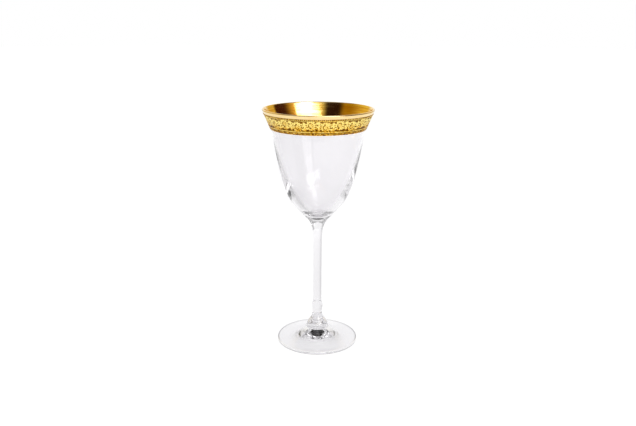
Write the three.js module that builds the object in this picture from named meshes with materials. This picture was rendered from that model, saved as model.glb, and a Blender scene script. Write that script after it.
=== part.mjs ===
import * as THREE from 'three';

// Stemmed wine glass of clear crystal with a gold-encrusted flared rim.
// Millimetres, +Z up, origin at the centre of the foot's base on the table.

// Heights of the three glass pieces, stacked on the axis
const FOOT_HEIGHT = 11.2;
const STEM_LENGTH = 100.3;
const BOWL_HEIGHT = 93.5;

// Foot
const FOOT_DIAMETER = 70.4;
const FOOT_EDGE_THICKNESS = 2.2;
const FOOT_REST_WIDTH = 2;
const FOOT_HOLLOW_DEPTH = 4;
const FOOT_CENTRE_SLOPE_DEG = 26;
const FOOT_EDGE_SLOPE_DEG = 10;
const FOOT_SLOPE_PULL = 8;

// Stem, from its domed base up to the trumpet under the bowl
const STEM_BASE_DIAMETER = 19.4;
const STEM_BASE_LENGTH = 14.3;
const ANKLE_DIAMETER = 8.1;
const KNOP_RISE = 5.5;
const KNOP_DIAMETER = 9.3;
const KNOP_FALL = 6;
const SHAFT_DIAMETER = 7.1;
const TRUMPET_LENGTH = 20.5;
const TRUMPET_ANGLE_DEG = 40;
const TRUMPET_LOWER_PULL = 11;
const TRUMPET_UPPER_PULL = 6;
const STEM_TOP_DIAMETER = 18.6;

// Bowl, outside
const SHOULDER_HEIGHT = 1;
const SHOULDER_DIAMETER = 21.2;
const BELLY_LOWER_ANGLE_DEG = 40.5;
const BELLY_LOWER_PULL = 18.6;
const BELLY_UPPER_ANGLE_DEG = 9.1;
const BELLY_UPPER_PULL = 60;
const FLARE_START_DIAMETER = 76.2;
const FLARE_HEIGHT = 21.5;
const FLARE_KNEE_PULL = 1.5;
const FLARE_RIM_PULL = 16;
const FLARE_ANGLE_DEG = 23.3;
const RIM_DIAMETER = 92.8;

// Bowl, inside
const RIM_WALL = 1.6;
const EVEN_WALL_BELOW_LINING = 7.1;
const BASE_THICKNESS = 5;
const FLOOR_PULL = 5;
const INNER_SIDE_PULL = 61.5;

// Gold, fired into shallow recesses of the glass
const GOLD_THICKNESS = 0.3;
const SEAT_GAP = 0.05;
const LIP_STRIP_HEIGHT = 3.2;
const LIP_LAP_HEIGHT = 2.5;
const LINING_HEIGHT = 16.4;

// Row of beads under the lip
const BEAD_ROW_HEIGHT = 1.25;
const BEAD_PITCH = 1.55;
const BEAD_RELIEF = 0.35;

// Frieze of scrolling foliage
const FRIEZE_HEIGHT = 8.7;
const FRIEZE_BAY_LENGTH = 11.3;
const FRIEZE_GROUND_DEPTH = 0.1;
const FRIEZE_RELIEF = 0.25;
const VINE_SWING = 2.3;
const VINE_HALF_WIDTH = 1.5;
const ROSETTE_DIAMETER = 4.8;
const ROSETTE_OFFSET = 1;

// Lower border: fillet, beaded moulding and edge line
const LOWER_BORDER_HEIGHT = 3.25;
const FILLET_WIDTH = 0.95;
const FILLET_RELIEF = 0.2;
const GROOVE_DEPTH = 0.12;
const MOULDING_RELIEF = 0.15;
const EDGE_LINE_WIDTH = 0.5;

// Fineness of the facets
const ROUND_SEGMENTS = 48;
const STEM_SEGMENTS = 28;
const BELLY_STEPS = 12;
const CURVE_STEPS = 8;
const SHORT_CURVE_STEPS = 4;
const LIP_STEPS = 4;
const LINING_STEPS = 3;
const FRIEZE_COLUMNS_PER_BAY = 6;
const FRIEZE_ROWS = 5;
const HEIGHT_SEARCH_STEPS = 40;

// Heights that pieces share
const stemBottom = FOOT_HEIGHT;
const stemTop = stemBottom + STEM_LENGTH;
const lipTop = stemTop + BOWL_HEIGHT;
const stripBottom = lipTop - LIP_STRIP_HEIGHT;
const beadBottom = stripBottom - BEAD_ROW_HEIGHT;
const friezeBottom = beadBottom - FRIEZE_HEIGHT;
const friezeMiddle = (friezeBottom + beadBottom) / 2;
const bandBottom = friezeBottom - LOWER_BORDER_HEIGHT;
const borderMiddle = (bandBottom + friezeBottom) / 2;
const lapBottom = lipTop - LIP_LAP_HEIGHT;
const liningBottom = lipTop - LINING_HEIGHT;
const evenWallBottom = liningBottom - EVEN_WALL_BELOW_LINING;

// Profiles are drawn in the plane of radius (x) and height (y).
// A heading is an angle in degrees away from straight up, 90 being outward.
const UP = 0;
const OUT = 90;
const at = (radius, height) => new THREE.Vector2(radius, height);

function heading(degrees) {
  const angle = THREE.MathUtils.degToRad(degrees);
  return at(Math.sin(angle), Math.cos(angle));
}

// A smooth curve between two points, with its heading and pull at each end.
function sweep(from, fromHeading, fromPull, to, toHeading, toPull) {
  const leaving = from.clone().addScaledVector(heading(fromHeading), fromPull);
  const arriving = to.clone().addScaledVector(heading(toHeading), -toPull);
  return new THREE.CubicBezierCurve(from, leaving, arriving, to);
}

// A curve that leaves and arrives along one heading, pulled half way from each end.
function ease(from, to, direction) {
  const pull = Math.abs(to.clone().sub(from).dot(heading(direction))) / 2;
  return sweep(from, direction, pull, to, direction, pull);
}

function revolve(profile, segments) {
  const geometry = new THREE.LatheGeometry(profile, segments);
  geometry.rotateX(Math.PI / 2);
  return geometry;
}

// The finished outer wall of the bowl: belly, flare and half-round lip
const shoulder = at(SHOULDER_DIAMETER / 2, stemTop + SHOULDER_HEIGHT);
const flareStart = at(FLARE_START_DIAMETER / 2, lipTop - FLARE_HEIGHT);
const lipRadius = RIM_WALL / 2;
const lipCentre = at(RIM_DIAMETER / 2 - lipRadius, lipTop - lipRadius);
const flareEnd = lipCentre.clone().addScaledVector(heading(FLARE_ANGLE_DEG + OUT), lipRadius);

const belly = sweep(
  shoulder, BELLY_LOWER_ANGLE_DEG, BELLY_LOWER_PULL,
  flareStart, BELLY_UPPER_ANGLE_DEG, BELLY_UPPER_PULL,
);
const flare = sweep(
  flareStart, BELLY_UPPER_ANGLE_DEG, FLARE_KNEE_PULL,
  flareEnd, FLARE_ANGLE_DEG, FLARE_RIM_PULL,
);

// The half-round of the lip, drawn from the outside over to the inside.
function lipArc(depth) {
  const start = THREE.MathUtils.degToRad(-FLARE_ANGLE_DEG);
  const arc = new THREE.ArcCurve(lipCentre.x, lipCentre.y, lipRadius - depth, start, start + Math.PI);
  return arc.getPoints(LIP_STEPS);
}

// The point of the outer wall at a height, moved square into the wall by a depth.
function wallPoint(height, depth) {
  const curve = height < flareStart.y ? belly : flare;
  let low = 0;
  let high = 1;
  for (let step = 0; step < HEIGHT_SEARCH_STEPS; step += 1) {
    const middle = (low + high) / 2;
    if (curve.getPoint(middle).y < height) {
      low = middle;
    } else {
      high = middle;
    }
  }
  const along = curve.getTangent(low);
  const inward = at(-along.y, along.x);
  return curve.getPoint(low).addScaledVector(inward, depth);
}

// Stations along the gilded wall, which the glass and the gold share
const outerStations = [bandBottom, borderMiddle, friezeBottom, friezeMiddle, beadBottom, stripBottom];
const liningStations = Array.from(
  { length: LINING_STEPS + 1 },
  (_, step) => THREE.MathUtils.lerp(liningBottom, lapBottom, step / LINING_STEPS),
);
const goldBack = GOLD_THICKNESS - SEAT_GAP;
const liningBack = RIM_WALL - goldBack;

function footGeometry() {
  const edgeRadius = FOOT_EDGE_THICKNESS / 2;
  const edgeCentre = at(FOOT_DIAMETER / 2 - edgeRadius, edgeRadius);
  const restInside = at(edgeCentre.x - FOOT_REST_WIDTH, 0);
  const edgeTop = at(edgeCentre.x, FOOT_EDGE_THICKNESS);
  const weldEdge = at(STEM_BASE_DIAMETER / 2, FOOT_HEIGHT);

  const crown = at(0, FOOT_HOLLOW_DEPTH);
  const hollow = new THREE.QuadraticBezierCurve(crown, at(restInside.x / 2, crown.y), restInside);
  const edge = new THREE.ArcCurve(edgeCentre.x, edgeCentre.y, edgeRadius, -Math.PI / 2, Math.PI / 2);
  const top = sweep(
    edgeTop, FOOT_EDGE_SLOPE_DEG - OUT, FOOT_SLOPE_PULL,
    weldEdge, FOOT_CENTRE_SLOPE_DEG - OUT, FOOT_SLOPE_PULL,
  );
  const profile = [
    ...hollow.getPoints(SHORT_CURVE_STEPS),
    ...edge.getPoints(SHORT_CURVE_STEPS),
    ...top.getPoints(SHORT_CURVE_STEPS).slice(1),
    at(0, FOOT_HEIGHT),
  ];
  return revolve(profile, ROUND_SEGMENTS);
}

function stemGeometry() {
  const baseEdge = at(STEM_BASE_DIAMETER / 2, stemBottom);
  const ankle = at(ANKLE_DIAMETER / 2, stemBottom + STEM_BASE_LENGTH);
  const knop = at(KNOP_DIAMETER / 2, ankle.y + KNOP_RISE);
  const shaftBottom = at(SHAFT_DIAMETER / 2, knop.y + KNOP_FALL);
  const shaftTop = at(SHAFT_DIAMETER / 2, stemTop - TRUMPET_LENGTH);
  const topEdge = at(STEM_TOP_DIAMETER / 2, stemTop);

  const trumpet = sweep(
    shaftTop, UP, TRUMPET_LOWER_PULL,
    topEdge, TRUMPET_ANGLE_DEG, TRUMPET_UPPER_PULL,
  );
  const profile = [
    at(0, stemBottom),
    ...ease(baseEdge, ankle, UP).getPoints(CURVE_STEPS),
    ...ease(ankle, knop, UP).getPoints(SHORT_CURVE_STEPS).slice(1),
    ...ease(knop, shaftBottom, UP).getPoints(SHORT_CURVE_STEPS).slice(1),
    ...trumpet.getPoints(CURVE_STEPS),
    at(0, stemTop),
  ];
  return revolve(profile, STEM_SEGMENTS);
}

function bowlGeometry() {
  const floor = at(0, stemTop + BASE_THICKNESS);
  const innerTop = wallPoint(evenWallBottom, RIM_WALL);
  const innerSide = sweep(
    floor, OUT, FLOOR_PULL,
    innerTop, BELLY_UPPER_ANGLE_DEG, INNER_SIDE_PULL,
  );
  const bellyPoints = belly.getPoints(BELLY_STEPS).filter((spot) => spot.y < bandBottom);
  const kneeHeight = (bellyPoints.at(-1).y + bandBottom) / 2;
  const profile = [
    at(0, stemTop),
    at(STEM_TOP_DIAMETER / 2, stemTop),
    ...bellyPoints,
    wallPoint(kneeHeight, 0),
    wallPoint(bandBottom, 0),
    ...outerStations.map((height) => wallPoint(height, GOLD_THICKNESS)),
    ...lipArc(GOLD_THICKNESS),
    ...liningStations.map((height) => wallPoint(height, RIM_WALL - GOLD_THICKNESS)).reverse(),
    wallPoint(liningBottom, RIM_WALL),
    wallPoint(flareStart.y, RIM_WALL),
    ...innerSide.getPoints(BELLY_STEPS).reverse(),
  ];
  return revolve(profile, ROUND_SEGMENTS);
}

// The burnished cap of gold over the lip, plain on both sides.
function lipGildingGeometry() {
  const profile = [
    wallPoint(stripBottom, 0),
    ...lipArc(0),
    wallPoint(lapBottom, RIM_WALL),
    wallPoint(lapBottom, liningBack),
    ...lipArc(goldBack).reverse(),
    wallPoint(stripBottom, goldBack),
    wallPoint(stripBottom, 0),
  ];
  return revolve(profile, ROUND_SEGMENTS);
}

// The burnished lining that shows inside the flare.
function innerGildingGeometry() {
  const heights = liningStations.slice();
  heights[LINING_STEPS] -= SEAT_GAP;
  const profile = [
    ...heights.map((height) => wallPoint(height, liningBack)),
    ...heights.map((height) => wallPoint(height, RIM_WALL)).reverse(),
    wallPoint(liningBottom, liningBack),
  ];
  return revolve(profile, ROUND_SEGMENTS);
}

function lowerBorderGeometry() {
  const top = friezeBottom - SEAT_GAP;
  const edgeLineTop = bandBottom + EDGE_LINE_WIDTH;
  const filletBottom = top - FILLET_WIDTH;
  const profile = [
    wallPoint(bandBottom, 0),
    wallPoint(edgeLineTop, 0),
    wallPoint(edgeLineTop, GROOVE_DEPTH),
    wallPoint((edgeLineTop + filletBottom) / 2, -MOULDING_RELIEF),
    wallPoint(filletBottom, GROOVE_DEPTH),
    wallPoint(filletBottom, 0),
    wallPoint((filletBottom + top) / 2, -FILLET_RELIEF),
    wallPoint(top, 0),
    wallPoint(top, goldBack),
    wallPoint(borderMiddle, goldBack),
    wallPoint(bandBottom, goldBack),
    wallPoint(bandBottom, 0),
  ];
  return revolve(profile, ROUND_SEGMENTS);
}

// Vertices and faces of the rings whose section changes round the axis.
class RingBuilder {
  constructor() {
    this.positions = [];
    this.indices = [];
  }

  // Adds a profile point, turned round the axis by a fraction of a turn.
  vertex(spot, turn) {
    const angle = turn * 2 * Math.PI;
    this.positions.push(spot.x * Math.cos(angle), spot.x * Math.sin(angle), spot.y);
    return this.positions.length / 3 - 1;
  }

  triangle(a, b, c) {
    this.indices.push(a, b, c);
  }

  quad(a, b, c, d) {
    this.triangle(a, b, c);
    this.triangle(a, c, d);
  }

  geometry() {
    const geometry = new THREE.BufferGeometry();
    geometry.setAttribute('position', new THREE.Float32BufferAttribute(this.positions, 3));
    geometry.setIndex(this.indices);
    geometry.computeVertexNormals();
    return geometry;
  }
}

// A row of raised beads, each a low four-sided stud on its own stretch of the ring.
function beadBorderGeometry() {
  const bottom = beadBottom;
  const top = stripBottom - SEAT_GAP;
  const crest = wallPoint((bottom + top) / 2, -BEAD_RELIEF);
  const section = [
    wallPoint(bottom, 0),
    wallPoint(top, 0),
    wallPoint(top, goldBack),
    wallPoint(bottom, goldBack),
  ];
  const beads = 2 * Math.round(Math.PI * crest.x / BEAD_PITCH);
  const ring = new RingBuilder();
  const columns = Array.from(
    { length: beads },
    (_, bead) => section.map((spot) => ring.vertex(spot, bead / beads)),
  );
  for (let bead = 0; bead < beads; bead += 1) {
    const [low, high, backHigh, backLow] = columns[bead];
    const [nextLow, nextHigh, nextBackHigh, nextBackLow] = columns[(bead + 1) % beads];
    const peak = ring.vertex(crest, (bead + 0.5) / beads);
    ring.triangle(peak, low, nextLow);
    ring.triangle(peak, nextLow, nextHigh);
    ring.triangle(peak, nextHigh, high);
    ring.triangle(peak, high, low);
    ring.quad(high, nextHigh, nextBackHigh, backHigh);
    ring.quad(backHigh, nextBackHigh, nextBackLow, backLow);
    ring.quad(backLow, nextBackLow, nextLow, low);
  }
  return ring.geometry();
}

// A rounded ridge: 1 on its crest and 0 from the half width outward.
function ridge(distance, halfWidth) {
  return Math.max(0, 1 - (distance / halfWidth) ** 2);
}

// Height of the foliage above its ground, from 0 to 1, at a place in the frieze.
// A vine swings up in one bay and down in the next, round a rosette in each.
function foliage(along, across, bayLength) {
  const bay = Math.floor(along / bayLength);
  const side = bay % 2 === 0 ? 1 : -1;
  const vine = VINE_SWING * Math.sin(Math.PI * along / bayLength);
  const fromCentre = along - (bay + 0.5) * bayLength;
  const fromRosette = Math.hypot(fromCentre, across + side * ROSETTE_OFFSET);
  return Math.max(ridge(across - vine, VINE_HALF_WIDTH), ridge(fromRosette, ROSETTE_DIAMETER / 2));
}

function friezeGeometry() {
  const bottom = friezeBottom;
  const top = beadBottom - SEAT_GAP;
  const middle = (bottom + top) / 2;
  const circumference = 2 * Math.PI * wallPoint(middle, 0).x;
  const bayPairs = Math.round(circumference / FRIEZE_BAY_LENGTH / 2);
  const bayLength = circumference / (2 * bayPairs);
  const columnCount = 2 * bayPairs * FRIEZE_COLUMNS_PER_BAY;

  const ring = new RingBuilder();
  const columns = [];
  for (let column = 0; column < columnCount; column += 1) {
    const turn = column / columnCount;
    const loop = [];
    for (let row = 0; row <= FRIEZE_ROWS; row += 1) {
      const height = THREE.MathUtils.lerp(bottom, top, row / FRIEZE_ROWS);
      const raised = FRIEZE_RELIEF * foliage(turn * circumference, height - middle, bayLength);
      loop.push(ring.vertex(wallPoint(height, FRIEZE_GROUND_DEPTH - raised), turn));
    }
    for (const height of [top, friezeMiddle, bottom]) {
      loop.push(ring.vertex(wallPoint(height, goldBack), turn));
    }
    columns.push(loop);
  }
  columns.forEach((loop, column) => {
    const next = columns[(column + 1) % columnCount];
    loop.forEach((low, row) => {
      const rowAbove = (row + 1) % loop.length;
      ring.quad(low, next[row], next[rowAbove], loop[rowAbove]);
    });
  });
  return ring.geometry();
}

function crystal() {
  return new THREE.MeshStandardMaterial({
    color: 0xf2eff4, roughness: 0.03, metalness: 0, transparent: true, opacity: 0.35,
  });
}

function gold(finish) {
  return new THREE.MeshStandardMaterial({ ...finish, metalness: 1 });
}

const BURNISHED = { color: 0xfde285, roughness: 0.15 };
const ETCHED = { color: 0xe6be5f, roughness: 0.35 };
const BRUSHED = { color: 0xdca032, roughness: 0.2 };

const glass = new THREE.Group();

function addPiece(name, geometry, material) {
  const mesh = new THREE.Mesh(geometry, material);
  mesh.name = name;
  glass.add(mesh);
}

addPiece('foot', footGeometry(), crystal());
addPiece('stem', stemGeometry(), crystal());
addPiece('bowl', bowlGeometry(), crystal());
addPiece('lip_gilding', lipGildingGeometry(), gold(BURNISHED));
addPiece('bead_border', beadBorderGeometry(), gold(BURNISHED));
addPiece('frieze_band', friezeGeometry(), gold(ETCHED));
addPiece('lower_border', lowerBorderGeometry(), gold(ETCHED));
addPiece('inner_gilding', innerGildingGeometry(), gold(BRUSHED));

export default glass;
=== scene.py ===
"""Stemmed crystal wine glass with a gold-encrusted rim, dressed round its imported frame.

Metres, +Z up, origin at the centre of the foot's base.
"""
import math

import bmesh
import bpy
import numpy as np
from mathutils import Matrix, Vector


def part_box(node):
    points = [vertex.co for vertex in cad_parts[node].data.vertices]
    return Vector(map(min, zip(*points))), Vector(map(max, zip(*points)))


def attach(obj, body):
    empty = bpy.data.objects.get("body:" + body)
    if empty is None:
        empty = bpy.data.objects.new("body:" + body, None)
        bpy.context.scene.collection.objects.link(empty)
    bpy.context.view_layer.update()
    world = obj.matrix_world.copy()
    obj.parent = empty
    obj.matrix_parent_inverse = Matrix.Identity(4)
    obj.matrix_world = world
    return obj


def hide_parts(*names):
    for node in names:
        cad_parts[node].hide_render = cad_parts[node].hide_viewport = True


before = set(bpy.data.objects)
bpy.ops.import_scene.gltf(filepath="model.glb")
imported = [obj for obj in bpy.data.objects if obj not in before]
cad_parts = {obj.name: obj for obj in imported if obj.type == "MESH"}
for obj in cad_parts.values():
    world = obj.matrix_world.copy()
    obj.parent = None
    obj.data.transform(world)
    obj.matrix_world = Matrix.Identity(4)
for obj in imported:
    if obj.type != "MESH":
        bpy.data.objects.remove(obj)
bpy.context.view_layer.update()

MM = 0.001

# Heights and radii that the frame gives
stem_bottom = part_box("foot")[1].z
stem_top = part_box("stem")[1].z
foot_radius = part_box("foot")[1].x
stem_base_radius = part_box("stem")[1].x

# Foot
FOOT_EDGE_THICKNESS = 2.2 * MM
FOOT_REST_WIDTH = 2 * MM
FOOT_HOLLOW_DEPTH = 4 * MM
FOOT_CENTRE_SLOPE_DEG = 26
FOOT_EDGE_SLOPE_DEG = 10
FOOT_SLOPE_PULL = 8 * MM

# Stem
STEM_BASE_LENGTH = 14.3 * MM
ANKLE_RADIUS = 4.05 * MM
KNOP_RISE = 5.5 * MM
KNOP_RADIUS = 4.65 * MM
KNOP_FALL = 6 * MM
SHAFT_RADIUS = 3.55 * MM
TRUMPET_LENGTH = 20.5 * MM
TRUMPET_ANGLE_DEG = 40
TRUMPET_LOWER_PULL = 11 * MM
TRUMPET_UPPER_PULL = 6 * MM
STEM_TOP_RADIUS = 9.3 * MM

# Bowl
BOWL_HEIGHT = 93.5 * MM
SHOULDER_HEIGHT = 1 * MM
SHOULDER_RADIUS = 10.6 * MM
BELLY_LOWER_ANGLE_DEG = 40.5
BELLY_LOWER_PULL = 18.6 * MM
BELLY_UPPER_ANGLE_DEG = 9.1
BELLY_UPPER_PULL = 60 * MM
FLARE_START_RADIUS = 38.1 * MM
FLARE_HEIGHT = 21.5 * MM
FLARE_KNEE_PULL = 1.5 * MM
FLARE_RIM_PULL = 16 * MM
FLARE_ANGLE_DEG = 23.3
RIM_RADIUS = 46.4 * MM
RIM_WALL = 1.6 * MM
EVEN_WALL_BELOW_LINING = 7.1 * MM
BASE_THICKNESS = 5 * MM
FLOOR_PULL = 5 * MM
INNER_SIDE_PULL = 61.5 * MM

# Gold
GOLD_THICKNESS = 0.3 * MM
SEAT_GAP = 0.05 * MM
LIP_STRIP_HEIGHT = 3.2 * MM
LIP_LAP_HEIGHT = 2.5 * MM
LINING_HEIGHT = 16.4 * MM
BEAD_ROW_HEIGHT = 1.25 * MM
BEAD_PITCH = 1.55 * MM
BEAD_RELIEF = 0.35 * MM
BEAD_WIDTH_SHARE = 0.78
FRIEZE_HEIGHT = 8.7 * MM
FRIEZE_BAY_LENGTH = 11.3 * MM
FRIEZE_GROUND_DEPTH = 0.1 * MM
FRIEZE_RELIEF = 0.25 * MM
LOWER_BORDER_HEIGHT = 3.25 * MM
FILLET_WIDTH = 0.95 * MM
FILLET_RELIEF = 0.2 * MM
GROOVE_DEPTH = 0.12 * MM
MOULDING_RELIEF = 0.15 * MM
MOULDING_PITCH = 1.15 * MM
MOULDING_BEAD_SHARE = 0.46
EDGE_LINE_WIDTH = 0.5 * MM

# Vine and border lines of the frieze. Each HEIGHT is a share of the relief.
BAYS_PER_REPEAT = 2
NEIGHBOUR_BAYS = 2
VINE_SWING = 2.3 * MM
VINE_HALF_WIDTH = 0.3 * MM
VINE_HEIGHT = 0.75
BORDER_LINE_HALF_WIDTH = 0.2 * MM
BORDER_LINE_INSET = 1.2 * BORDER_LINE_HALF_WIDTH
BORDER_LINE_HEIGHT = 0.8

# Flower and curl of each bay. The curl's turns are half turns.
ROSETTE_RADIUS = 1.55 * MM
ROSETTE_OFFSET = 1.0 * MM
ROSETTE_PETALS = 5
PETAL_ROUNDNESS = 0.6
PETAL_RING_RADIUS = 0.62 * ROSETTE_RADIUS
PETAL_HALF_WIDTH = 0.4 * ROSETTE_RADIUS
PETAL_CLEFT_WIDTH = 0.35
PETAL_CLEFT_HEIGHT = 0.45
PETAL_HEIGHT = 0.85
BOSS_RADIUS = 0.28 * ROSETTE_RADIUS
TENDRIL_RADIUS = 1.95 * MM
TENDRIL_HALF_WIDTH = 0.26 * MM
TENDRIL_TURNS = (-0.1, 1.62)
TENDRIL_TAPER = (1.18, 0.92)
TENDRIL_HEIGHT = 0.8

# Leaves. Each SIZE gives shares of the length and the half width.
LEAF_LENGTH = 2.3 * MM
LEAF_HALF_WIDTH = 0.72 * MM
LEAF_SWELL = 0.7
RIB_DEPTH = 0.4
RIB_WIDTH_SHARE = 0.16
RIB_END_SHARE = 0.85
CURL_LEAF_TURNS_DEG = range(-60, 241, 30)
CURL_LEAF_LEAN_DEG = 38
CURL_LEAF_REACH = 1.12 * TENDRIL_RADIUS
CURL_LEAF_SIZE = (1.0, 1.0)
VINE_LEAF_SHARES = (0.02, 0.17, 0.32, 0.47, 0.62, 0.77, 0.92)
VINE_LEAF_LEAN_DEG = 70
VINE_LEAF_LEAN_FALL_DEG = 80
VINE_LEAF_SIZE = (0.95, 0.85)
UNDER_LEAVES = ((0.08, -62), (0.24, -20), (0.8, -160), (0.94, -118))
UNDER_LEAF_SIZE = (0.8, 0.8)
FAN_OFFSET = 1.75 * MM
FAN_LEANS_DEG = (30, 60, 90, 120, 150)
FAN_LEAF_SIZE = (1.15, 0.85)
SPRAY_OFFSET = 0.9 * MM
SPRAY_LEANS_DEG = (-35, -62, -90)
SPRAY_LEAF_SIZE = (1.2, 0.85)

# Pellets that fill the ground of the frieze
STIPPLE_PITCH = 0.94 * MM
STIPPLE_RADIUS = 0.33 * MM
STIPPLE_HEIGHT = 0.38

# Burnish of the etched gold, which also paints its light: 0 for the matt ground in painted shade, 1 for
# crests with a painted highlight
# The frieze's head gets more painted highlight than its foot.
FRIEZE_FOOT_BURNISH_AND_LIGHT = 0.5
FRIEZE_HEAD_BURNISH_AND_LIGHT = 1.2
FRIEZE_HEAD_SHARE = 0.6
BEAD_GROUND_BURNISH_AND_SHADE = 0.1
BEAD_CREST_BURNISH_AND_LIGHT = 0.72
FILLET_BURNISH_AND_LIGHT = 0.66
MOULDING_BURNISH_AND_LIGHT = 0.56
EDGE_LINE_BURNISH_AND_LIGHT = 0.4

# Fineness of the meshes
ROUND_SEGMENTS = 256
STEM_SEGMENTS = 128
CURVE_STEPS = 60
ARC_STEPS = 24
FUSED_FACE_POINTS = 5
COLUMNS_PER_BEAD = 10
BEAD_ROWS = 13
COLUMNS_PER_REPEAT = 144
FRIEZE_ROWS = 60
TENDRIL_POINTS = 90
COLUMNS_PER_DOT = 8
BORDER_ROWS = 30
GLASS_CREASE_DEG = 30
RELIEF_CREASE_DEG = 65
SAME_POINT = 0.001 * MM
POLE_MERGE = 0.0001 * MM
LEAST_WIDTH = 1e-9

# Grain of each material, in waves for each metre along X, Y and Z
CRYSTAL_WAVES = (60, 60, 14)
CRYSTAL_CLOUDS = (25, 25, 25)
RUBBING_MARKS = (90, 90, 2600)
BURNISHED_CLOUDS = (220, 220, 220)
ETCHED_GRAIN = (1100, 1100, 1100)
ETCHED_CLOUDS = (600, 600, 600)
LINING_STROKES = (40, 40, 1100)
LINING_CLOUDS = (120, 120, 400)
CLOUD_SPREAD = (0.3, 0.7)

# Bump of each material: strength and depth
CRYSTAL_BUMP = (0.07, 0.1 * MM)
BURNISHED_BUMP = (0.25, 0.02 * MM)
ETCHED_BUMP = (0.6, 0.08 * MM)
LINING_BUMP = (0.45, 0.04 * MM)

# Crystal: its tint at each surface, its shadow, and what its depth takes from the light for each metre
CRYSTAL_TINTS = [(0.3, (0.944, 0.937, 0.951)), (0.7, (0.961, 0.953, 0.967))]
CRYSTAL_SHADE = (0.95, 0.95, 0.955, 1)
CRYSTAL_COLOUR = (0.5, 0.46, 0.52, 1)
CRYSTAL_DENSITY = 3
CRYSTAL_IOR = 1.53
GLASS_BOUNCES = 32

# Gold: stops of position and colour, and roughness at each end of its clouds or its shine
BURNISHED_COLOURS = [(0.3, (0.94, 0.69, 0.31)), (0.7, (0.96, 0.74, 0.38))]
BURNISHED_ROUGHNESS = (0.1, 0.18)
# The etched stops run from painted shade for the ground to a painted highlight for the crests.
ETCHED_COLOURS_AND_PAINTED_LIGHT = [(0.2, (0.13, 0.04, 0.001)), (0.42, (0.88, 0.44, 0.012)), (0.8, (1.0, 0.81, 0.24))]
ETCHED_WEAR = 0.28
ETCHED_SHINE = (0.1, 0.8)
ETCHED_ROUGHNESS = (0.38, 0.16)
LINING_COLOURS = [(0.35, (0.78, 0.47, 0.15)), (0.62, (1.0, 0.73, 0.33))]
LINING_ROUGHNESS = (0.08, 0.16)

# Camera, found by fitting the ellipses of the rim and the foot
CAMERA_PLACE = (0.19 * MM, -581.3 * MM, 279.4 * MM)
CAMERA_PITCH_DEG = 15.74
CAMERA_ROLL_DEG = 0.34
CAMERA_LENS_MM = 39.97
SENSOR_WIDTH_MM = 36
CAMERA_CLIP_START = 10 * MM

# Floor: its paint, and its glow from the middle out to a far reach
FLOOR_RADIUS = 6.0
FLOOR_PAINT = (0.8, 0.8, 0.8, 1)
NEAR_GLOW = 0.6
FAR_GLOW = 0.8
FAR_REACH = 2.6

# A thin ring under the edge of the foot, where the glow is held back: a painted contact shadow
CONTACT_FROM = 33.6 * MM
CONTACT_TO = 35 * MM
CONTACT_SOFTNESS = 0.4 * MM
CONTACT_SHADE = 0.1

# Mirrored in gold or glass, the floor's glow fades out to each side
SIDE_FROM = 0.36
SIDE_TO = 0.8

# Seen through the glass, the glow keeps its strength close under it and in a sweep behind it, falls off
# to the other sides, and is a little dimmer near than far. The sweep ends at cosines from its axis.
SWEEP_AXIS = (0.34, 0.94, 0)
SWEEP_FROM = 0.1
SWEEP_TO = 0.94
SWEEP_LOW = 0.35
CLOSE_FROM = 55 * MM
CLOSE_TO = 110 * MM
THROUGH_NEAR = 0.84
THROUGH_FROM = 0.16
THROUGH_TO = 0.36

# Lamps
SOFTBOX_PLACE = (0.94, -1.93, 1.73)
SOFTBOX_SIZE = (2.7, 0.6)
SOFTBOX_RADIANCE = 3.7
TALL_LIGHT_PLACE = (0.95, -1.55, 1.85)
TALL_LIGHT_SIZE = (1.0, 2.3)
TALL_LIGHT_RADIANCE = 2.1
LAMP_AIM = (0, 0, 0.15)

# Room: what gold and glass see of it, and the plain level that matt surfaces get
ROOM_COLOUR = (0.025, 0.009, 0.004, 1)
AMBIENT_COLOUR = (0.22, 0.22, 0.23, 1)
WHITE = (1, 1, 1, 1)

# Panels of the room, each laid over those before it: azimuths and their softness, heights, colour.
# Azimuths run from the front towards the right, and an end at 220 lies past the back. All are degrees.
PANELS = [
    ((-220, -62), 9, (-90, 45), (0.39, 0.22, 0.004)),
    ((-220, -105), 26, (-90, 45), (0.8, 0.6, 0.1)),
    ((56, 119), 3, (-90, 45), (0.05, 0.012, 0.004)),
    ((119, 220), 3, (-90, 45), (0.7, 0.5, 0.1)),
    ((30, 74), 21, (29, 46), (0.95, 0.6, 0.08)),
    ((-14, 30), 10, (28, 46), (0.9, 0.75, 0.25)),
    ((-112, 14), 4, (-90, 14), (0.8, 0.8, 0.8)),
    ((-62, 14), 4, (-90, 24), (0.92, 0.92, 0.92)),
    ((20, 46), 3, (-90, 19), (1.4, 1.4, 1.4)),
    ((82, 122), 4, (-90, 12), (0.5, 0.5, 0.5)),
    ((82, 98), 4, (-90, 20), (0.45, 0.45, 0.45)),
    ((-120, 110), 4, (50, 76), (0.5, 0.5, 0.5)),
    ((110, 142), 4, (40, 60), (0.4, 0.4, 0.4)),
    ((-220, 220), 4, (76, 100), (0.95, 0.95, 0.95)),
]
PANEL_HEIGHT_SOFTNESS = 4

# White backdrop behind the glass: cosines of the angle from straight back where it fades, and heights
BACK_FROM = 0.77
BACK_TO = 0.94
BACK_BOTTOM_DEG = -100
BACK_TOP_DEG = 42
BACK_SOFTNESS_DEG = 6

# Headings of a profile, in degrees away from straight up
UP = 0
OUT = 90

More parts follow.
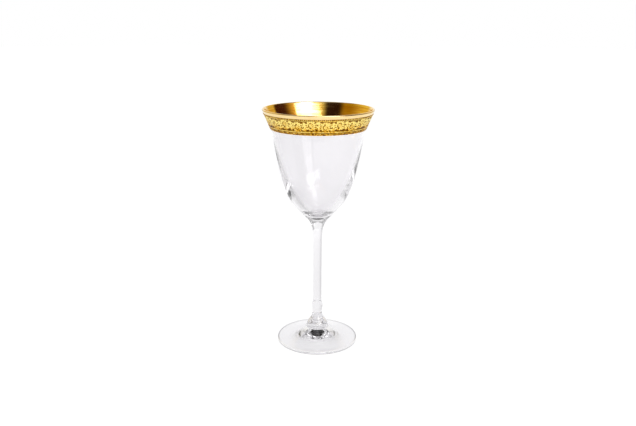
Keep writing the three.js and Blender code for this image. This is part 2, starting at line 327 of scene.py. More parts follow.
lip_top = stem_top + BOWL_HEIGHT
strip_bottom = lip_top - LIP_STRIP_HEIGHT
bead_bottom = strip_bottom - BEAD_ROW_HEIGHT
frieze_bottom = bead_bottom - FRIEZE_HEIGHT
band_bottom = frieze_bottom - LOWER_BORDER_HEIGHT
lap_bottom = lip_top - LIP_LAP_HEIGHT
lining_bottom = lip_top - LINING_HEIGHT
even_wall_bottom = lining_bottom - EVEN_WALL_BELOW_LINING
gold_back = GOLD_THICKNESS - SEAT_GAP
lining_back = RIM_WALL - gold_back


def heading(degrees):
    """Unit step of radius and height, at an angle away from straight up."""
    angle = math.radians(degrees)
    return np.array([math.sin(angle), math.cos(angle)])


def sweep(start, start_heading, start_pull, end, end_heading, end_pull, steps=CURVE_STEPS):
    """Points of a smooth curve with its heading and pull at each end."""
    start = np.asarray(start, float)
    end = np.asarray(end, float)
    leaving = start + start_pull * heading(start_heading)
    arriving = end - end_pull * heading(end_heading)
    t = np.linspace(0, 1, steps + 1)[:, None]
    first = (1 - t) ** 3 * start + 3 * (1 - t) ** 2 * t * leaving
    return first + 3 * (1 - t) * t ** 2 * arriving + t ** 3 * end


def ease(start, end, direction, steps=CURVE_STEPS):
    """A curve that leaves and arrives along one heading, pulled half way from each end."""
    pull = abs(np.dot(np.subtract(end, start), heading(direction))) / 2
    return sweep(start, direction, pull, end, direction, pull, steps)


def arc(centre, radius, start_deg, end_deg, steps=ARC_STEPS):
    """Points of a round stretch, its angles measured from straight out."""
    angle = np.radians(np.linspace(start_deg, end_deg, steps + 1))
    return np.column_stack([centre[0] + radius * np.cos(angle), centre[1] + radius * np.sin(angle)])


def hollow(radius, rise, steps=CURVE_STEPS):
    """Points of a shallow hollow, from its crown out to its edge."""
    reach = np.linspace(0, radius, steps + 1)
    return np.column_stack([reach, rise * (1 - (reach / radius) ** 2)])


# The finished outer wall of the bowl: belly and flare
lip_radius = RIM_WALL / 2
lip_centre = np.array([RIM_RADIUS - lip_radius, lip_top - lip_radius])
flare_start = np.array([FLARE_START_RADIUS, lip_top - FLARE_HEIGHT])
flare_end = lip_centre + lip_radius * heading(FLARE_ANGLE_DEG + OUT)
belly = sweep(
    (SHOULDER_RADIUS, stem_top + SHOULDER_HEIGHT), BELLY_LOWER_ANGLE_DEG, BELLY_LOWER_PULL,
    flare_start, BELLY_UPPER_ANGLE_DEG, BELLY_UPPER_PULL, 4 * CURVE_STEPS,
)
flare = sweep(
    flare_start, BELLY_UPPER_ANGLE_DEG, FLARE_KNEE_PULL,
    flare_end, FLARE_ANGLE_DEG, FLARE_RIM_PULL, 4 * CURVE_STEPS,
)
wall_curve = np.vstack([belly, flare[1:]])
wall_steps = np.gradient(wall_curve, axis=0)
wall_along = wall_steps / np.linalg.norm(wall_steps, axis=1)[:, None]


def wall(heights, depth):
    """Points at heights of the outer wall, moved square into the wall by a depth."""
    heights = np.asarray(heights, float)
    radius, along_r, along_z = (
        np.interp(heights, wall_curve[:, 1], values)
        for values in (wall_curve[:, 0], wall_along[:, 0], wall_along[:, 1])
    )
    return np.stack([radius - depth * along_z, heights + depth * along_r], axis=-1)


def wall_run(low, high, depth, steps=ARC_STEPS):
    """Points up the wall from one height to another."""
    return wall(np.linspace(low, high, steps + 1), depth)


def lip_arc(depth):
    """The half-round of the lip, from the outside over to the inside."""
    return arc(lip_centre, lip_radius - depth, -FLARE_ANGLE_DEG, 180 - FLARE_ANGLE_DEG)


def turned_mesh(name, radius, height, closed, crease_deg, row_welds=None, values=None):
    """An object whose rows of points run round the axis, given as arrays of rows by columns.

    A closed one joins its last row to its first. row_welds marks the rows of faces that are
    fused to a neighbour, and values holds named numbers for each point.
    """
    rows, columns = radius.shape
    angle = np.arange(columns) * 2 * math.pi / columns
    points = np.stack([radius * np.cos(angle), radius * np.sin(angle), height], axis=-1)
    index = np.arange(rows * columns).reshape(rows, columns)
    above = np.roll(index, -1, axis=0)
    if not closed:
        index, above = index[:-1], above[:-1]
    corners = [index, np.roll(index, -1, axis=1), np.roll(above, -1, axis=1), above]
    quads = np.stack(corners, axis=-1).reshape(-1, 4)
    mesh = bpy.data.meshes.new(name)
    mesh.from_pydata(points.reshape(-1, 3).tolist(), [], quads.tolist())
    if row_welds is not None:
        weld = mesh.attributes.new("weld", "FLOAT", "FACE")
        weld.data.foreach_set("value", np.repeat(row_welds, columns).astype(np.float32))
    for label, numbers in (values or {}).items():
        layer = mesh.attributes.new(label, "FLOAT", "POINT")
        layer.data.foreach_set("value", numbers.astype(np.float32).ravel())
    if not closed:
        merge_poles(mesh)
    mesh.shade_smooth()
    mesh.set_sharp_from_angle(angle=math.radians(crease_deg))
    piece = bpy.data.objects.new(name, mesh)
    bpy.context.scene.collection.objects.link(piece)
    return piece


def merge_poles(mesh):
    """Joins the points that lie together on the axis."""
    shape = bmesh.new()
    shape.from_mesh(mesh)
    bmesh.ops.remove_doubles(shape, verts=shape.verts, dist=POLE_MERGE)
    shape.to_mesh(mesh)
    shape.free()


def revolve(name, runs, segments, closed=False, weld_runs=()):
    """Turns a profile, given as runs of points, round the axis.

    The runs numbered in weld_runs are the faces fused to a neighbour.
    """
    profile = [runs[0][0]]
    welds = []
    for number, run in enumerate(runs):
        for spot in run:
            if np.linalg.norm(spot - profile[-1]) > SAME_POINT:
                profile.append(spot)
                welds.append(number in weld_runs)
    profile = np.array(profile)
    if closed:
        welds.append(False)
    radius = np.repeat(profile[:, :1], segments, axis=1)
    height = np.repeat(profile[:, 1:], segments, axis=1)
    return turned_mesh(name, radius, height, closed, GLASS_CREASE_DEG, np.array(welds))


def relief_ring(name, heights, depths, burnish_and_painted_light):
    """A ring of gold whose front stands at depths in the wall, each point more or less burnished, with
    painted shade or a painted highlight to match.
    """
    columns = depths.shape[1]
    level = np.repeat(heights[:, None], columns, axis=1)
    front = wall(level, depths)
    back = wall(level[::-1], gold_back)
    both = np.concatenate([front, back])
    shine = np.concatenate([burnish_and_painted_light, np.zeros_like(burnish_and_painted_light)])
    return turned_mesh(
        name, both[..., 0], both[..., 1], True, RELIEF_CREASE_DEG, values={"burnish_and_painted_light": shine},
    )


def ridge(distance, half_width):
    """A rounded ridge: 1 on its crest and 0 from the half width outward."""
    return np.sqrt(np.clip(1 - (distance / half_width) ** 2, 0, 1))


def make_foot():
    """The spread disc, hollow underneath, with its top fused to the stem."""
    edge_radius = FOOT_EDGE_THICKNESS / 2
    edge_centre = np.array([foot_radius - edge_radius, edge_radius])
    rest_inside = edge_centre[0] - FOOT_REST_WIDTH
    weld_edge = np.array([stem_base_radius, stem_bottom])
    runs = [
        hollow(rest_inside, FOOT_HOLLOW_DEPTH),
        arc(edge_centre, edge_radius, -90, 90),
        sweep(
            (edge_centre[0], FOOT_EDGE_THICKNESS), FOOT_EDGE_SLOPE_DEG - OUT, FOOT_SLOPE_PULL,
            weld_edge, FOOT_CENTRE_SLOPE_DEG - OUT, FOOT_SLOPE_PULL,
        ),
        np.linspace(weld_edge, (0, stem_bottom), FUSED_FACE_POINTS),
    ]
    return revolve("foot_glass", runs, ROUND_SEGMENTS, weld_runs=(3,))


def make_stem():
    """Domed base, knop, shaft and trumpet, fused at both ends."""
    base_edge = np.array([stem_base_radius, stem_bottom])
    ankle = np.array([ANKLE_RADIUS, stem_bottom + STEM_BASE_LENGTH])
    knop = np.array([KNOP_RADIUS, ankle[1] + KNOP_RISE])
    shaft_bottom = np.array([SHAFT_RADIUS, knop[1] + KNOP_FALL])
    shaft_top = np.array([SHAFT_RADIUS, stem_top - TRUMPET_LENGTH])
    top_edge = np.array([STEM_TOP_RADIUS, stem_top])
    runs = [
        np.linspace((0, stem_bottom), base_edge, FUSED_FACE_POINTS),
        ease(base_edge, ankle, UP),
        ease(ankle, knop, UP, ARC_STEPS),
        ease(knop, shaft_bottom, UP, ARC_STEPS),
        np.linspace(shaft_bottom, shaft_top, ARC_STEPS),
        sweep(shaft_top, UP, TRUMPET_LOWER_PULL, top_edge, TRUMPET_ANGLE_DEG, TRUMPET_UPPER_PULL),
        np.linspace(top_edge, (0, stem_top), FUSED_FACE_POINTS),
    ]
    return revolve("stem_glass", runs, STEM_SEGMENTS, weld_runs=(0, 6))


def make_bowl():
    """The blown bell, recessed for the gold at its rim and fused to the stem."""
    inner_top = wall(even_wall_bottom, RIM_WALL)
    inner_side = sweep(
        (0, stem_top + BASE_THICKNESS), OUT, FLOOR_PULL,
        inner_top, BELLY_UPPER_ANGLE_DEG, INNER_SIDE_PULL, 2 * CURVE_STEPS,
    )
    runs = [
        np.linspace((0, stem_top), (STEM_TOP_RADIUS, stem_top), FUSED_FACE_POINTS),
        wall_run(stem_top + SHOULDER_HEIGHT, flare_start[1], 0, 2 * CURVE_STEPS),
        wall_run(flare_start[1], band_bottom, 0),
        wall_run(band_bottom, strip_bottom, GOLD_THICKNESS),
        lip_arc(GOLD_THICKNESS),
        wall_run(lap_bottom, lining_bottom, RIM_WALL - GOLD_THICKNESS),
        wall_run(lining_bottom, even_wall_bottom, RIM_WALL),
        inner_side[::-1],
    ]
    return revolve("bowl_glass", runs, ROUND_SEGMENTS, weld_runs=(0,))


def make_lip_gilding():
    """Gold over the lip, lapping inside and out."""
    runs = [
        wall_run(strip_bottom, flare_end[1], 0),
        lip_arc(0),
        wall(np.array([lap_bottom]), RIM_WALL),
        wall(np.array([lap_bottom]), lining_back),
        lip_arc(gold_back)[::-1],
        wall(np.array([strip_bottom]), gold_back),
    ]
    return revolve("rim_gold_lip", runs, ROUND_SEGMENTS, closed=True)


def make_inner_gilding():
    """The plain gold lining inside the flare."""
    top = lap_bottom - SEAT_GAP
    runs = [
        wall_run(lining_bottom, top, lining_back),
        wall_run(top, lining_bottom, RIM_WALL),
    ]
    return revolve("rim_gold_lining", runs, ROUND_SEGMENTS, closed=True)


def make_bead_border():
    """A row of round beads under the lip."""
    heights = np.linspace(bead_bottom, strip_bottom - SEAT_GAP, BEAD_ROWS)
    middle = (heights[0] + heights[-1]) / 2
    circumference = 2 * math.pi * wall(middle, -BEAD_RELIEF)[0]
    beads = 2 * round(circumference / 2 / BEAD_PITCH)
    along = np.arange(beads * COLUMNS_PER_BEAD) / COLUMNS_PER_BEAD % 1 * 2 - 1
    across = (heights - middle) / (heights[-1] - middle)
    rise = ridge(np.hypot(along[None, :], across[:, None]), BEAD_WIDTH_SHARE)
    # Painted shade in the ground between the beads, a painted highlight on their crests.
    burnish_and_painted_light = BEAD_GROUND_BURNISH_AND_SHADE + (BEAD_CREST_BURNISH_AND_LIGHT - BEAD_GROUND_BURNISH_AND_SHADE) * rise
    return relief_ring("rim_gold_beads", heights, -BEAD_RELIEF * rise, burnish_and_painted_light)


def leaf(along, across, base, angle_deg, length, half_width):
    """A pointed leaf with a sunk midrib, from its base out along an angle."""
    angle = math.radians(angle_deg)
    from_base = (along - base[0]) * math.cos(angle) + (across - base[1]) * math.sin(angle)
    from_rib = (across - base[1]) * math.cos(angle) - (along - base[0]) * math.sin(angle)
    share = np.clip(from_base / length, 0, 1)
    edge = half_width * np.sin(math.pi * share ** LEAF_SWELL) + LEAST_WIDTH
    rib = RIB_DEPTH * np.exp(-(from_rib / (RIB_WIDTH_SHARE * half_width)) ** 2)
    blade = ridge(from_rib, edge) - rib * (share < RIB_END_SHARE)
    return np.where((from_base > 0) & (from_base < length), np.clip(blade, 0, 1), 0)


def rosette(along, across, centre):
    """An open flower: a boss in a ring of rounded petals."""
    reach = np.hypot(along - centre[0], across - centre[1])
    turn = np.arctan2(across - centre[1], along - centre[0])
    petal = np.abs(np.cos(turn * ROSETTE_PETALS / 2)) ** PETAL_ROUNDNESS
    half_width = PETAL_HALF_WIDTH * (PETAL_CLEFT_WIDTH + (1 - PETAL_CLEFT_WIDTH) * petal)
    height = PETAL_HEIGHT * (PETAL_CLEFT_HEIGHT + (1 - PETAL_CLEFT_HEIGHT) * petal)
    flower = height * ridge(reach - PETAL_RING_RADIUS, half_width)
    return np.maximum(flower, ridge(reach, BOSS_RADIUS))


def tendril(along, across, centre, side):
    """A curl that leaves the vine and runs in round a rosette."""
    turn = np.linspace(*TENDRIL_TURNS, TENDRIL_POINTS) * math.pi
    reach = TENDRIL_RADIUS * np.linspace(*TENDRIL_TAPER, TENDRIL_POINTS)
    spots_along = centre[0] - reach * np.cos(turn)
    spots_across = centre[1] + side * reach * np.sin(turn)
    gap = np.hypot(along[..., None] - spots_along, across[..., None] - spots_across).min(axis=-1)
    return TENDRIL_HEIGHT * ridge(gap, TENDRIL_HALF_WIDTH)


def bay_foliage(along, across, bay, bay_length):
    """What one bay of the frieze holds besides the vine: flower, curl and leaves."""
    side = 1 if bay % 2 == 0 else -1
    start = bay * bay_length
    centre = (start + bay_length / 2, -side * ROSETTE_OFFSET)
    shapes = [rosette(along, across, centre), tendril(along, across, centre, -side)]

    def add_leaf(base, lean_deg, size):
        length = size[0] * LEAF_LENGTH
        half_width = size[1] * LEAF_HALF_WIDTH
        shapes.append(leaf(along, across, base, side * lean_deg, length, half_width))

    def on_vine(share):
        return (start + share * bay_length, side * VINE_SWING * math.sin(math.pi * share))

    for turn_deg in CURL_LEAF_TURNS_DEG:
        way = heading(OUT - turn_deg) * CURL_LEAF_REACH
        base = (centre[0] + way[0], centre[1] - side * way[1])
        add_leaf(base, CURL_LEAF_LEAN_DEG - turn_deg, CURL_LEAF_SIZE)
    for share in VINE_LEAF_SHARES:
        lean_deg = VINE_LEAF_LEAN_DEG - VINE_LEAF_LEAN_FALL_DEG * share
        add_leaf(on_vine(share), lean_deg, VINE_LEAF_SIZE)
    for share, lean_deg in UNDER_LEAVES:
        add_leaf(on_vine(share), lean_deg, UNDER_LEAF_SIZE)
    for lean_deg in FAN_LEANS_DEG:
        add_leaf((start, side * FAN_OFFSET), lean_deg, FAN_LEAF_SIZE)
    for lean_deg in SPRAY_LEANS_DEG:
        add_leaf((start, -side * SPRAY_OFFSET), lean_deg, SPRAY_LEAF_SIZE)
    return np.max(shapes, axis=0)


def stipple(along, across, bay_length):
    """Small pellets, in staggered rows, that fill the ground."""
    pitch = bay_length / round(bay_length / STIPPLE_PITCH)
    row = np.round(across / pitch)
    spot = along / pitch + (row % 2) / 2
    reach = np.hypot(spot - np.round(spot), across / pitch - row) * pitch
    return STIPPLE_HEIGHT * ridge(reach, STIPPLE_RADIUS)


def frieze_relief(along, across, bay_length):
    """Height of the ornament over one repeat, from 0 at the ground to 1."""
    vine = VINE_SWING * np.sin(math.pi * along / bay_length)
    slope = VINE_SWING * math.pi / bay_length * np.cos(math.pi * along / bay_length)
    gap = (across - vine) / np.sqrt(1 + slope ** 2)
    shapes = [VINE_HEIGHT * ridge(gap, VINE_HALF_WIDTH), stipple(along, across, bay_length)]
    for bay in range(-NEIGHBOUR_BAYS, BAYS_PER_REPEAT + NEIGHBOUR_BAYS):
        shapes.append(bay_foliage(along, across, bay, bay_length))
    line = FRIEZE_HEIGHT / 2 - BORDER_LINE_INSET
    shapes.append(BORDER_LINE_HEIGHT * ridge(np.abs(across) - line, BORDER_LINE_HALF_WIDTH))
    return np.max(shapes, axis=0)


def make_frieze():
    """The relief band of scrolling foliage."""
    heights = np.linspace(frieze_bottom, bead_bottom - SEAT_GAP, FRIEZE_ROWS)
    middle = (heights[0] + heights[-1]) / 2
    circumference = 2 * math.pi * wall(middle, 0)[0]
    repeats = round(circumference / FRIEZE_BAY_LENGTH / BAYS_PER_REPEAT)
    bay_length = circumference / repeats / BAYS_PER_REPEAT
    along = np.arange(COLUMNS_PER_REPEAT) / COLUMNS_PER_REPEAT * BAYS_PER_REPEAT * bay_length
    grid_across, grid_along = np.meshgrid(heights - middle, along, indexing="ij")
    relief = np.tile(frieze_relief(grid_along, grid_across, bay_length), (1, repeats))
    rise = np.linspace(0, 1, FRIEZE_ROWS)[:, None]
    # Burnish and painted light rise from the foot of the frieze to its head; the ground stays in
    # painted shade.
    shine = np.interp(rise, [0, FRIEZE_HEAD_SHARE], [FRIEZE_FOOT_BURNISH_AND_LIGHT, FRIEZE_HEAD_BURNISH_AND_LIGHT])
    depths = FRIEZE_GROUND_DEPTH - FRIEZE_RELIEF * relief
    return relief_ring("rim_gold_frieze", heights, depths, relief * shine)


def make_lower_border():
    """Fillet, row of small beads in a groove, and edge line."""
    top = frieze_bottom - SEAT_GAP
    heights = np.linspace(band_bottom, top, BORDER_ROWS)
    fillet_middle = top - FILLET_WIDTH / 2
    line_top = band_bottom + EDGE_LINE_WIDTH
    row_middle = (line_top + top - FILLET_WIDTH) / 2
    row_half = row_middle - line_top
    circumference = 2 * math.pi * wall(row_middle, 0)[0]
    dots = 2 * round(circumference / 2 / MOULDING_PITCH)
    along = np.arange(dots * COLUMNS_PER_DOT) / COLUMNS_PER_DOT % 1 * 2 - 1
    height = heights[:, None] + 0 * along
    fillet = ridge(height - fillet_middle, FILLET_WIDTH / 2)
    reach = np.hypot(along * MOULDING_PITCH / 2, height - row_middle)
    beads = ridge(reach, MOULDING_BEAD_SHARE * MOULDING_PITCH)
    groove = np.abs(height - row_middle) < row_half
    edge_line = height < line_top
    depths = GROOVE_DEPTH * groove * (1 - beads) - MOULDING_RELIEF * beads - FILLET_RELIEF * fillet
    # A painted highlight on the fillet, beads and edge line; the groove is left in painted shade.
    burnish_and_painted_light = np.maximum.reduce([
        FILLET_BURNISH_AND_LIGHT * fillet, MOULDING_BURNISH_AND_LIGHT * beads, EDGE_LINE_BURNISH_AND_LIGHT * edge_line,
    ])
    return relief_ring("rim_gold_border", heights, depths, burnish_and_painted_light)


def node(tree, kind, settings=None, inputs=None):
    """Adds a node. Each input is a value or the socket that feeds it."""
    made = tree.nodes.new(kind)
    for label, value in (settings or {}).items():
        setattr(made, label, value)
    for label, value in (inputs or {}).items():
        if isinstance(value, bpy.types.NodeSocket):
            tree.links.new(value, made.inputs[label])
        else:
            made.inputs[label].default_value = value
    return made


def new_material(name):
    """A material with an empty node tree and its output node."""
    material = bpy.data.materials.new(name)
    material.use_nodes = True
    material.node_tree.nodes.clear()
    output = node(material.node_tree, "ShaderNodeOutputMaterial")
    return material, material.node_tree, output


def computed(tree, operation, *values):
    """The result of a sum on numbers, each a value or a socket."""
    return node(tree, "ShaderNodeMath", {"operation": operation}, dict(enumerate(values))).outputs[0]


def map_range(tree, value, low, high, to_low, to_high, smooth=False):
    """A number carried from one range over to another, and held at its ends."""
    kind = "SMOOTHSTEP" if smooth else "LINEAR"
    made = node(
        tree, "ShaderNodeMapRange", {"interpolation_type": kind, "clamp": True},
        {"Value": value, "From Min": low, "From Max": high, "To Min": to_low, "To Max": to_high},
    )
    return made.outputs["Result"]


def within(tree, value, low, high, softness):
    """1 where a value lies between two limits, with soft edges."""
    rise = map_range(tree, value, low - softness, low + softness, 0, 1, smooth=True)
    fall = map_range(tree, value, high - softness, high + softness, 1, 0, smooth=True)
    return computed(tree, "MULTIPLY", rise, fall)


def in_degrees(tree, angle):
    """An angle in degrees, from one in radians."""
    return computed(tree, "DEGREES", angle)


def unit_vector(tree, vector):
    """A vector brought to a length of 1."""
    return node(tree, "ShaderNodeVectorMath", {"operation": "NORMALIZE"}, {0: vector}).outputs[0]


def blend(tree, factor, first, second):
    """A colour between two, each a value or a socket."""
    made = node(tree, "ShaderNodeMix", {"data_type": "RGBA"}, {0: factor, 6: first, 7: second})
    return made.outputs[2]


def mixed_shader(tree, factor, first, second):
    """A surface between two, each given as its node."""
    return node(tree, "ShaderNodeMixShader", inputs={
        0: factor, 1: first.outputs[0], 2: second.outputs[0],
    })


def stretched_noise(tree, scale, detail):
    """Noise over the object's own coordinates, stretched by a scale for each axis."""
    place = node(tree, "ShaderNodeTexCoord").outputs["Object"]
    mapped = node(tree, "ShaderNodeMapping", inputs={"Vector": place, "Scale": scale})
    return node(tree, "ShaderNodeTexNoise", inputs={
        "Vector": mapped.outputs[0], "Scale": 1.0, "Detail": detail,
    }).outputs["Fac"]


def colour_ramp(tree, factor, stops):
    """A ramp through stops of position and colour."""
    ramp = node(tree, "ShaderNodeValToRGB", inputs={"Fac": factor})
    elements = ramp.color_ramp.elements
    while len(elements) < len(stops):
        elements.new(0.5)
    for element, (position, colour) in zip(elements, stops):
        element.position = position
        element.color = (*colour, 1)
    return ramp.outputs["Color"]


def bump(tree, height, strength, depth):
    """A surface direction that follows a fine relief."""
    return node(tree, "ShaderNodeBump", inputs={
        "Strength": strength, "Distance": depth, "Height": height,
    }).outputs[0]


def crystal_material():
    """Clear crystal with the faint waves of hand-blown glass, coloured by its depth.

    Where two gathers of hot glass are fused, nothing marks the joint.
    """
    material, tree, output = new_material("crystal")
    waves = stretched_noise(tree, CRYSTAL_WAVES, detail=2)
    clouds = stretched_noise(tree, CRYSTAL_CLOUDS, detail=3)
    glass = node(tree, "ShaderNodeBsdfPrincipled", inputs={
        "Base Color": colour_ramp(tree, clouds, CRYSTAL_TINTS),
        "Roughness": 0.0,
        "IOR": CRYSTAL_IOR,
        "Transmission Weight": 1.0,
        "Normal": bump(tree, waves, *CRYSTAL_BUMP),
    })
    rays = node(tree, "ShaderNodeLightPath").outputs
    passing = computed(tree, "MAXIMUM", rays["Is Shadow Ray"], rays["Is Diffuse Ray"])
    shade = node(tree, "ShaderNodeBsdfTransparent", inputs={"Color": CRYSTAL_SHADE})
    surface = mixed_shader(tree, passing, glass, shade)
    weld = node(tree, "ShaderNodeAttribute", {"attribute_name": "weld"}).outputs["Fac"]
    fused = node(tree, "ShaderNodeBsdfTransparent")
    whole = mixed_shader(tree, weld, surface, fused)
    depth = node(tree, "ShaderNodeVolumeAbsorption", inputs={
        "Color": CRYSTAL_COLOUR, "Density": CRYSTAL_DENSITY,
    })
    tree.links.new(whole.outputs[0], output.inputs["Surface"])
    tree.links.new(depth.outputs[0], output.inputs["Volume"])
    return material


def finish_gold(tree, output, colour, roughness, normal):
    """Wires a metal surface to a material's output."""
    gold = node(tree, "ShaderNodeBsdfPrincipled", inputs={
        "Base Color": colour, "Metallic": 1.0, "Roughness": roughness, "Normal": normal,
    })
    tree.links.new(gold.outputs[0], output.inputs["Surface"])


def burnished_gold():
    """Bright gold rubbed to a shine, with faint rubbing marks round the lip."""
    material, tree, output = new_material("burnished_gold")
    marks = stretched_noise(tree, RUBBING_MARKS, detail=3)
    clouds = stretched_noise(tree, BURNISHED_CLOUDS, detail=3)
    colour = colour_ramp(tree, clouds, BURNISHED_COLOURS)
    roughness = map_range(tree, clouds, *CLOUD_SPREAD, *BURNISHED_ROUGHNESS)
    finish_gold(tree, output, colour, roughness, bump(tree, marks, *BURNISHED_BUMP))
    return material


def etched_gold():
    """Gold over acid-etched relief: matt with painted shade in the ground, burnished with a painted
    highlight on the crests.
    """
    material, tree, output = new_material("etched_gold")
    burnish_and_painted_light = node(tree, "ShaderNodeAttribute", {"attribute_name": "burnish_and_painted_light"}).outputs["Fac"]
    grain = stretched_noise(tree, ETCHED_GRAIN, detail=4)
    clouds = stretched_noise(tree, ETCHED_CLOUDS, detail=3)
    wear = map_range(tree, clouds, *CLOUD_SPREAD, -ETCHED_WEAR, ETCHED_WEAR)
    wear_and_painted_light = computed(tree, "ADD", burnish_and_painted_light, wear)
    # The ramp paints shade on the low ground and a highlight on the crests, on top of the gold's colour
    # and its wear.
    colour = colour_ramp(tree, wear_and_painted_light, ETCHED_COLOURS_AND_PAINTED_LIGHT)
    roughness = map_range(tree, wear_and_painted_light, *ETCHED_SHINE, *ETCHED_ROUGHNESS)
    finish_gold(tree, output, colour, roughness, bump(tree, grain, *ETCHED_BUMP))
    return material


def lining_gold():
    """Bright gold brushed on in fine level strokes."""
    material, tree, output = new_material("lining_gold")
    strokes = stretched_noise(tree, LINING_STROKES, detail=4)
    clouds = stretched_noise(tree, LINING_CLOUDS, detail=3)
    colour = colour_ramp(tree, strokes, LINING_COLOURS)
    roughness = map_range(tree, clouds, *CLOUD_SPREAD, *LINING_ROUGHNESS)
    finish_gold(tree, output, colour, roughness, bump(tree, strokes, *LINING_BUMP))
    return material


def dress(piece, cad_node, material):
    """Gives a piece its material, and has it stand for its solid."""
    piece.data.materials.append(material)
    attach(piece, "root")
    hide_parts(cad_node)


def make_glass():
    """The eight pieces: three of glass and five of gold."""
    crystal = crystal_material()
    etched = etched_gold()
    dress(make_foot(), "foot", crystal)
    dress(make_stem(), "stem", crystal)
    dress(make_bowl(), "bowl", crystal)
    dress(make_lip_gilding(), "lip_gilding", burnished_gold())
    dress(make_bead_border(), "bead_border", etched)
    dress(make_frieze(), "frieze_band", etched)
    dress(make_lower_border(), "lower_border", etched)
    dress(make_inner_gilding(), "inner_gilding", lining_gold())


def share_through_glass(tree, place, reach):
    """The share of the floor's glow that is seen through the glass."""
    behind = node(tree, "ShaderNodeVectorMath", {"operation": "DOT_PRODUCT"}, {
        0: unit_vector(tree, place), 1: SWEEP_AXIS,
    }).outputs["Value"]
    sweep_share = map_range(tree, behind, SWEEP_FROM, SWEEP_TO, SWEEP_LOW, 1, smooth=True)
    close = map_range(tree, reach, CLOSE_FROM, CLOSE_TO, 1, 0, smooth=True)
    dimmed = map_range(tree, reach, THROUGH_FROM, THROUGH_TO, THROUGH_NEAR, 1)
    return computed(tree, "MULTIPLY", dimmed, computed(tree, "MAXIMUM", sweep_share, close))


def floor_glow(tree):
    """Strength of the floor's glow: whole to the camera, and a share of it in gold and glass."""
    place = node(tree, "ShaderNodeTexCoord").outputs["Object"]
    reach = node(tree, "ShaderNodeVectorMath", {"operation": "LENGTH"}, {0: place}).outputs["Value"]
    lift = map_range(tree, reach, 0, FAR_REACH, NEAR_GLOW, FAR_GLOW)
    # Painted contact shadow: the glow dims in a thin ring under the foot's edge.
    ring = within(tree, reach, CONTACT_FROM, CONTACT_TO, CONTACT_SOFTNESS)
    lift = computed(tree, "MULTIPLY", lift, map_range(tree, ring, 0, 1, 1, CONTACT_SHADE))
    across = node(tree, "ShaderNodeSeparateXYZ", inputs={0: place}).outputs["X"]
    sideways = computed(tree, "ABSOLUTE", across)
    in_mirror = map_range(tree, sideways, SIDE_FROM, SIDE_TO, 1, 0, smooth=True)
    through = share_through_glass(tree, place, reach)
    rays = node(tree, "ShaderNodeLightPath").outputs
    share = map_range(tree, rays["Is Transmission Ray"], 0, 1, in_mirror, through)
    mirrored = computed(tree, "MAXIMUM", rays["Is Glossy Ray"], rays["Is Transmission Ray"])
    shown = computed(tree, "MULTIPLY", mirrored, share)
    seen = computed(tree, "MAXIMUM", rays["Is Camera Ray"], shown)
    return computed(tree, "MULTIPLY", lift, seen)


def make_floor():
    """A wide pale floor that keeps the shadow."""
    mesh = bpy.data.meshes.new("floor")
    angle = np.arange(ROUND_SEGMENTS) * 2 * math.pi / ROUND_SEGMENTS
    edge = np.column_stack([np.cos(angle), np.sin(angle), 0 * angle]) * FLOOR_RADIUS
    mesh.from_pydata(edge.tolist(), [], [list(range(ROUND_SEGMENTS))])
    floor = bpy.data.objects.new("floor", mesh)
    bpy.context.scene.collection.objects.link(floor)
    material, tree, output = new_material("floor")
    paint = node(tree, "ShaderNodeBsdfDiffuse", inputs={"Color": FLOOR_PAINT})
    glow = node(tree, "ShaderNodeEmission", inputs={"Color": WHITE, "Strength": floor_glow(tree)})
    both = node(tree, "ShaderNodeAddShader", inputs={0: paint.outputs[0], 1: glow.outputs[0]})
    tree.links.new(both.outputs[0], output.inputs["Surface"])
    mesh.materials.append(material)


def room_colour(tree, parts, height):
    """The dark room with its panels laid over one another."""
    forward = computed(tree, "MULTIPLY", parts["Y"], -1)
    azimuth = in_degrees(tree, computed(tree, "ARCTAN2", parts["X"], forward))
    colour = ROOM_COLOUR
    for (left, right), softness, (low, high), shade in PANELS:
        beside = within(tree, azimuth, left, right, softness)
        level = within(tree, height, low, high, PANEL_HEIGHT_SOFTNESS)
        colour = blend(tree, computed(tree, "MULTIPLY", beside, level), colour, (*shade, 1))
    return colour


def backdrop_share(tree, way, height):
    """1 on the white backdrop behind the glass, with soft edges."""
    level = node(tree, "ShaderNodeVectorMath", {"operation": "MULTIPLY"}, {0: way, 1: (1, 1, 0)})
    flat = unit_vector(tree, level.outputs[0])
    behind = node(tree, "ShaderNodeSeparateXYZ", inputs={0: flat}).outputs["Y"]
    round_back = map_range(tree, behind, BACK_FROM, BACK_TO, 0, 1, smooth=True)
    below_top = within(tree, height, BACK_BOTTOM_DEG, BACK_TOP_DEG, BACK_SOFTNESS_DEG)
    return computed(tree, "MULTIPLY", round_back, below_top)


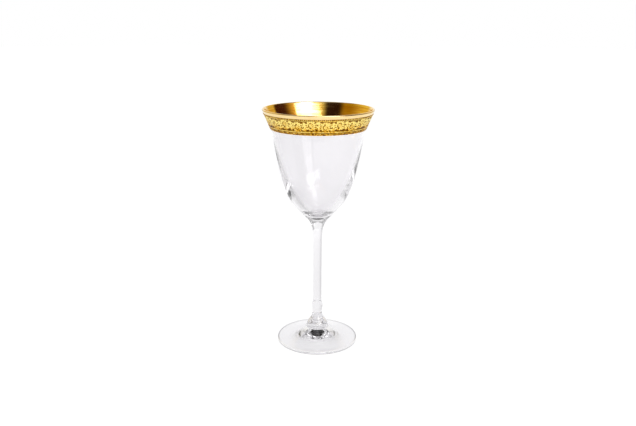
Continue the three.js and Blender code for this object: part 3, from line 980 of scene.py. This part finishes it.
def make_world():
    """A white backdrop in a dark warm room with soft panels.

    Through the glass the room is seen in grey, and matt surfaces get one plain level from it.
    """
    world = bpy.data.worlds.new("studio")
    bpy.context.scene.world = world
    world.use_nodes = True
    tree = world.node_tree
    tree.nodes.clear()
    output = node(tree, "ShaderNodeOutputWorld")
    way = node(tree, "ShaderNodeTexCoord").outputs["Generated"]
    parts = node(tree, "ShaderNodeSeparateXYZ", inputs={0: way}).outputs
    height = in_degrees(tree, computed(tree, "ARCSINE", parts["Z"]))
    colour = room_colour(tree, parts, height)
    rays = node(tree, "ShaderNodeLightPath").outputs
    grey = node(tree, "ShaderNodeRGBToBW", inputs={0: colour}).outputs[0]
    colour = blend(tree, rays["Is Transmission Ray"], colour, grey)
    colour = blend(tree, rays["Is Diffuse Ray"], colour, AMBIENT_COLOUR)
    backdrop = backdrop_share(tree, way, height)
    shown = computed(tree, "MAXIMUM", rays["Is Camera Ray"], backdrop)
    light = node(tree, "ShaderNodeBackground", inputs={
        "Color": blend(tree, shown, colour, WHITE), "Strength": 1.0,
    })
    tree.links.new(light.outputs[0], output.inputs["Surface"])


def make_lamp(name, place, size, radiance):
    """An even rectangular lamp that faces the glass."""
    light = bpy.data.lights.new(name, "AREA")
    light.shape = "RECTANGLE"
    light.size, light.size_y = size
    light.energy = radiance * math.pi * size[0] * size[1]
    lamp = bpy.data.objects.new(name, light)
    bpy.context.scene.collection.objects.link(lamp)
    lamp.location = place
    toward = Vector(LAMP_AIM) - lamp.location
    lamp.rotation_euler = toward.to_track_quat("-Z", "Y").to_euler()


def lengthen_light_paths():
    """Lets light turn often enough inside the thick glass."""
    paths = bpy.context.scene.cycles
    paths.max_bounces = GLASS_BOUNCES
    paths.glossy_bounces = GLASS_BOUNCES
    paths.transmission_bounces = GLASS_BOUNCES
    paths.transparent_max_bounces = GLASS_BOUNCES


def make_camera():
    """The fitted camera, at the photograph's viewing angle."""
    lens = bpy.data.cameras.new("camera")
    lens.lens = CAMERA_LENS_MM
    lens.sensor_width = SENSOR_WIDTH_MM
    lens.clip_start = CAMERA_CLIP_START
    camera = bpy.data.objects.new("camera", lens)
    bpy.context.scene.collection.objects.link(camera)
    tilt = Matrix.Rotation(math.radians(90 - CAMERA_PITCH_DEG), 4, "X")
    roll = Matrix.Rotation(math.radians(CAMERA_ROLL_DEG), 4, "Z")
    camera.matrix_world = Matrix.Translation(CAMERA_PLACE) @ tilt @ roll
    bpy.context.scene.camera = camera


make_glass()
make_floor()
make_world()
make_lamp("softbox", SOFTBOX_PLACE, SOFTBOX_SIZE, SOFTBOX_RADIANCE)
make_lamp("tall_light", TALL_LIGHT_PLACE, TALL_LIGHT_SIZE, TALL_LIGHT_RADIANCE)
lengthen_light_paths()
make_camera()
bpy.context.scene.view_settings.view_transform = "Standard"
